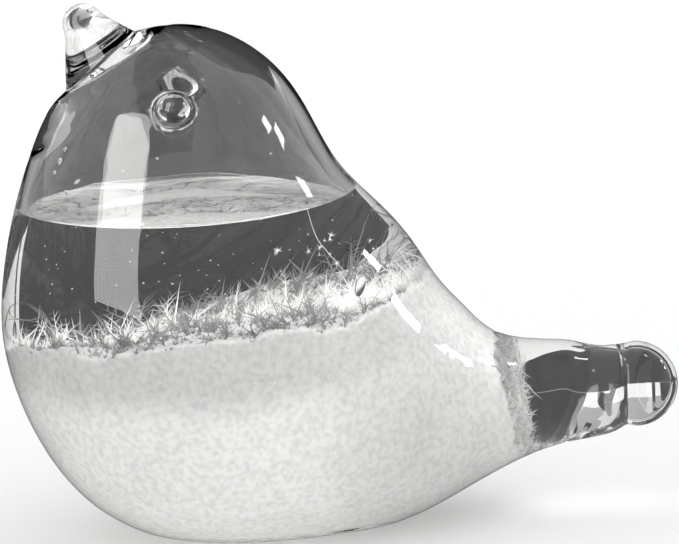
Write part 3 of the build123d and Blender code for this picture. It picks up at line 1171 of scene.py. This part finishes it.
def level_sheet(name, low, high, height, material, **seen_by):
    corners = [(low[0], low[1]), (high[0], low[1]), (high[0], high[1]), (low[0], high[1])]
    return sheet_of(name, [(x, y, height) for x, y in corners], material, **seen_by)


def toward(azimuth, elevation):
    """A direction from the bird: azimuth 0 is in front of it, and 90 is on its tail's side."""
    a, e = math.radians(azimuth), math.radians(elevation)
    return Vector((math.sin(a) * math.cos(e), -math.cos(a) * math.cos(e), math.sin(e)))


def lamp(name, start, ways, distance, shade, twice=False):
    """A soft lamp: a glowing sheet whose corners lie in these directions from a point on the glass.

    The outside of the glass mirrors it, and the inside as well if it is seen twice.
    """
    corners = [Vector(start) + toward(*way) * distance for way in ways]
    seen_by = {**NEVER, "glossy": True, "transmission": twice}
    return sheet_of(name, corners, glowing(name, shade, 0.0), **seen_by)


paper, _, paper_shader = new_material("pale_paper")
set_values(paper_shader, {"Base Color": (PAPER, PAPER, PAPER, 1), "Roughness": 0.9, "Specular IOR Level": 0.0})
level_sheet("pale_floor", (-6, -6), (6, 6), -0.0001, paper, transmission=False, glossy=False, shadow=False)

through_glass = {**NEVER, "transmission": True}
level_sheet("white_table", (-6, -6), (6, 6), -0.0003, glowing("white_table", 0.95, 1.5), **through_glass)
mat_corners = [(-0.1, 0.07, -0.0002), (0.03, 0.06, -0.0002), (0.06, 0.03, -0.0002), (0.13, 0.03, -0.0002)]
mat_corners += [(0.13, CARD_DISTANCE, -0.0002), (-0.1, CARD_DISTANCE, -0.0002)]
sheet_of("grey_mat", mat_corners, glowing("grey_mat", 0.07, 0.6), **through_glass)
card_outline = [(-0.1, 0), (0.05, 0), (0.049, 0.045), (0.04, 0.075), (0.036, 0.11), (0.1, 0.13), (0.1, 0.3)]
card_outline += [(-0.06, 0.3), (-0.066, 0.07), (-0.1, 0.05)]
grey_card = glowing("grey_card", 0.07, 0.6)


def card(name, outline):
    return sheet_of(name, [(x, CARD_DISTANCE, z) for x, z in outline], grey_card, **through_glass)


card("grey_card", card_outline)
small_outline = [(0.0565, 0), (0.0605, 0), (0.0605, 0.035)]
small_outline += [(0.0595, 0.0375), (0.0575, 0.0375), (0.0565, 0.035)]
card("small_card", small_outline)
top_card = glowing("top_card", 0.07, 4.5)
level_sheet("top_card", (-0.12, -0.2), (0.045, CARD_DISTANCE), 0.3, top_card, **through_glass)
wall_corners = [(-2, 0.5, 0), (2, 0.5, 0), (2, 0.5, 0.2), (-2, 0.5, 0.2)]
sheet_of("pale_wall", wall_corners, glowing("pale_wall", 0.45, 1.0), **through_glass)

window = [(-62, 5), (-31, 2), (-36, 64), (-81, 52)]  # directions of its corners
lamp("window_softbox", (-0.02, -0.03, 0.06), window, 0.7, 7.2, True)
round_panel = [(101.5, 29.5), (108, 29), (108.5, 35), (102, 35.5)]
lamp("round_lamp", (0.0043, -0.0189, 0.077), round_panel, 0.15, 16.0)
slender_panel = [(108.5, 23), (114.5, 22.5), (114.5, 28), (109.5, 28.5)]
lamp("slender_lamp", (0.008, -0.019, 0.071), slender_panel, 0.7, 16.0)
long_panel = [(102.5, 17), (109.5, 17), (109.5, 20.8), (103, 20.8)]
lamp("long_lamp", (0.03, -0.0195, 0.04), long_panel, 0.7, 16.0)

world = bpy.data.worlds.new("studio")
bpy.context.scene.world = world
world.use_nodes = True
sky = world.node_tree.nodes["Background"]
sky.inputs["Color"].default_value = (1, 1, 1, 1)
FROM_CRYSTALS = (0.6, 1.5)  # more daylight for the crystals: from the sides, and from overhead


def light_the_sky(tree):
    """White to look at; brighter on the floor, and brighter still for what the crystals see."""
    path = add(tree, "ShaderNodeLightPath")
    place = add(tree, "ShaderNodeTexCoord")
    split = add(tree, "ShaderNodeSeparateXYZ")
    straight = add(tree, "ShaderNodeMath", operation="MAXIMUM")
    strength = add(tree, "ShaderNodeMix", {"A": DAYLIGHT, "B": 1.0}, data_type="FLOAT")
    sides, top = FROM_CRYSTALS
    overhead = add(tree, "ShaderNodeMath", {1: top, 2: sides}, operation="MULTIPLY_ADD")
    up = add(tree, "ShaderNodeMath", {1: 0.0}, operation="MAXIMUM")
    scattered = add(tree, "ShaderNodeMath", {1: 0.5}, operation="GREATER_THAN")
    inside_glass = add(tree, "ShaderNodeMath", operation="MULTIPLY")
    more = add(tree, "ShaderNodeMath", operation="MULTIPLY_ADD")
    link = tree.links.new
    link(place.outputs["Generated"], split.inputs["Vector"])
    link(split.outputs["Z"], up.inputs[0])
    link(up.outputs["Value"], overhead.inputs[0])
    link(path.outputs["Is Camera Ray"], straight.inputs[0])
    link(path.outputs["Is Transmission Ray"], straight.inputs[1])
    link(straight.outputs["Value"], strength.inputs["Factor"])
    link(path.outputs["Diffuse Depth"], scattered.inputs[0])
    link(scattered.outputs["Value"], inside_glass.inputs[0])
    link(path.outputs["Is Transmission Ray"], inside_glass.inputs[1])
    link(inside_glass.outputs["Value"], more.inputs[0])
    link(overhead.outputs["Value"], more.inputs[1])
    link(strength.outputs["Result"], more.inputs[2])
    link(more.outputs["Value"], sky.inputs["Strength"])


light_the_sky(world.node_tree)
world.cycles_visibility.glossy = False

scene = bpy.context.scene
scene.view_settings.view_transform = "Standard"
scene.cycles.max_bounces = 24
scene.cycles.transmission_bounces = 24
scene.cycles.glossy_bounces = 12
